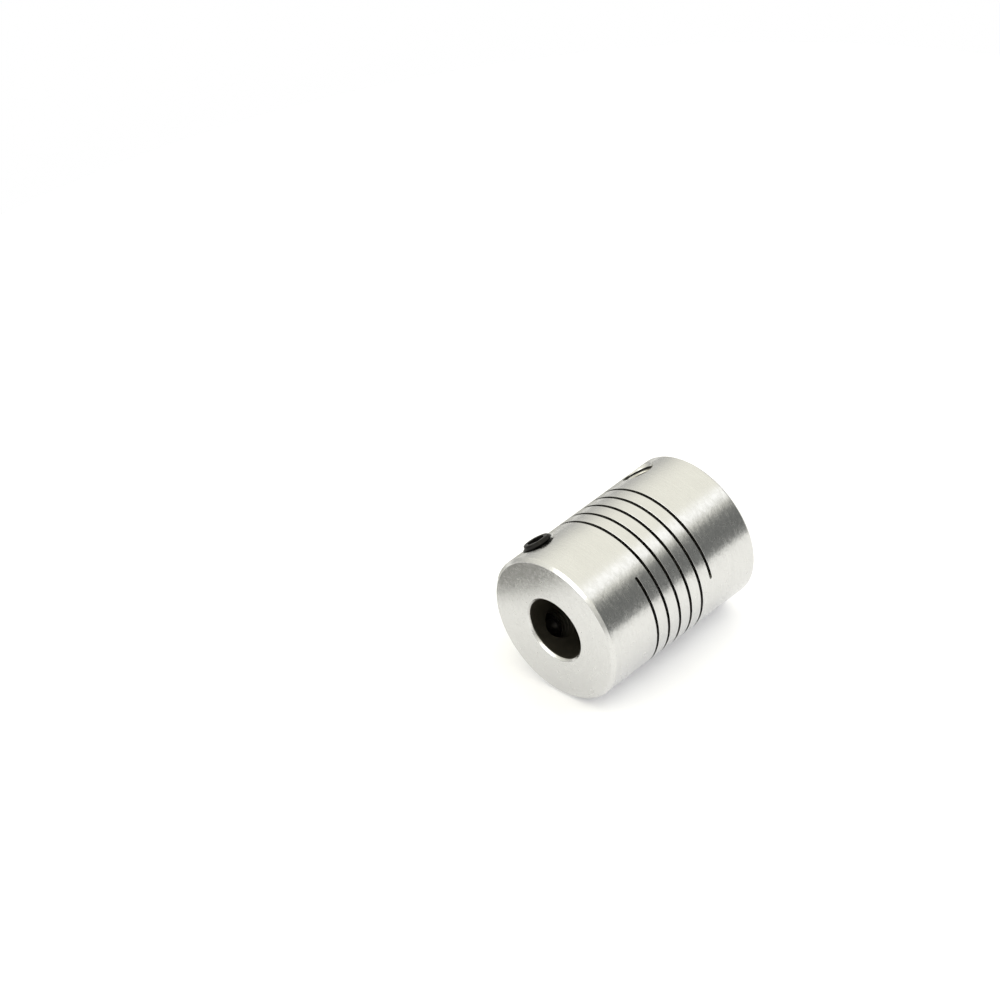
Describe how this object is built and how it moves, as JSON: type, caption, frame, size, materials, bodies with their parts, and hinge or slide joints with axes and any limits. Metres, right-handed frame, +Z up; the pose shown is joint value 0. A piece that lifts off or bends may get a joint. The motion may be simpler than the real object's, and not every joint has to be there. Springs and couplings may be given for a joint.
{
  "type": "beam coupling",
  "caption": "Cylindrical flexible shaft coupling with one helical slot through its wall, stepped bores and radial grub screws in each hub.",
  "frame": {"origin": "centre of the body, on the shaft axis, halfway between the end faces", "axes": "+X along the shaft axis from the 8 mm end to the 5 mm end, +Z up with the coupling lying on its side"},
  "size_m": [0.025, 0.019, 0.019],
  "materials": {
    "satin_aluminium": "fine turned, satin",
    "black_oxide_screw": "black oxide"
  },
  "bodies": {
    "hub_8mm": {"hub_8mm": "satin_aluminium"},
    "beam_turn_1": {"beam_turn_1": "satin_aluminium"},
    "beam_turn_2": {"beam_turn_2": "satin_aluminium"},
    "beam_turn_3": {"beam_turn_3": "satin_aluminium"},
    "beam_turn_4": {"beam_turn_4": "satin_aluminium"},
    "beam_turn_5": {"beam_turn_5": "satin_aluminium"},
    "hub_5mm": {"beam_turn_6": "satin_aluminium", "hub_5mm": "satin_aluminium"},
    "set_screw_8mm_a": {"set_screw_8mm_a": "black_oxide_screw"},
    "set_screw_8mm_b": {"set_screw_8mm_b": "black_oxide_screw"},
    "set_screw_5mm_a": {"set_screw_5mm_a": "black_oxide_screw"},
    "set_screw_5mm_b": {"set_screw_5mm_b": "black_oxide_screw"}
  },
  "joints": [
    {"name": "bend_y_near", "type": "hinge", "parent": "hub_8mm", "child": "beam_turn_1", "pos_m": [-0.00458, 0, 0], "axis": [0, 1, 0], "range_deg": [-1.5, 1.5], "stiffness_Nm_per_rad": 3, "deforming": ["beam_turn_1"]},
    {"name": "bend_z_near", "type": "hinge", "parent": "beam_turn_1", "child": "beam_turn_2", "pos_m": [-0.00285, 0, 0], "axis": [0, 0, 1], "range_deg": [-1.5, 1.5], "stiffness_Nm_per_rad": 3, "deforming": ["beam_turn_2"]},
    {"name": "wind_up", "type": "hinge", "parent": "beam_turn_2", "child": "beam_turn_3", "pos_m": [-0.00112, 0, 0], "axis": [1, 0, 0], "range_deg": [-2, 2], "stiffness_Nm_per_rad": 60, "deforming": ["beam_turn_3"]},
    {"name": "end_float", "type": "slide", "parent": "beam_turn_3", "child": "beam_turn_4", "axis": [1, 0, 0], "range_m": [-0.0003, 0.0003], "stiffness_N_per_m": 50000, "deforming": ["beam_turn_4"]},
    {"name": "bend_z_far", "type": "hinge", "parent": "beam_turn_4", "child": "beam_turn_5", "pos_m": [0.00234, 0, 0], "axis": [0, 0, 1], "range_deg": [-1.5, 1.5], "stiffness_Nm_per_rad": 3, "deforming": ["beam_turn_5"]},
    {"name": "bend_y_far", "type": "hinge", "parent": "beam_turn_5", "child": "hub_5mm", "pos_m": [0.00407, 0, 0], "axis": [0, 1, 0], "range_deg": [-1.5, 1.5], "stiffness_Nm_per_rad": 3, "deforming": ["beam_turn_6"]},
    {"name": "screw_8mm_a", "type": "slide", "parent": "hub_8mm", "child": "set_screw_8mm_a", "axis": [0, 0.5299, 0.848], "range_m": [-0.002, 0.003]},
    {"name": "screw_8mm_b", "type": "slide", "parent": "hub_8mm", "child": "set_screw_8mm_b", "axis": [0, 0.7431, -0.6691], "range_m": [-0.002, 0.003]},
    {"name": "screw_5mm_a", "type": "slide", "parent": "hub_5mm", "child": "set_screw_5mm_a", "axis": [0, 0.5299, 0.848], "range_m": [-0.0022, 0.0043]},
    {"name": "screw_5mm_b", "type": "slide", "parent": "hub_5mm", "child": "set_screw_5mm_b", "axis": [0, 0.7431, -0.6691], "range_m": [-0.0022, 0.0043]}
  ]
}
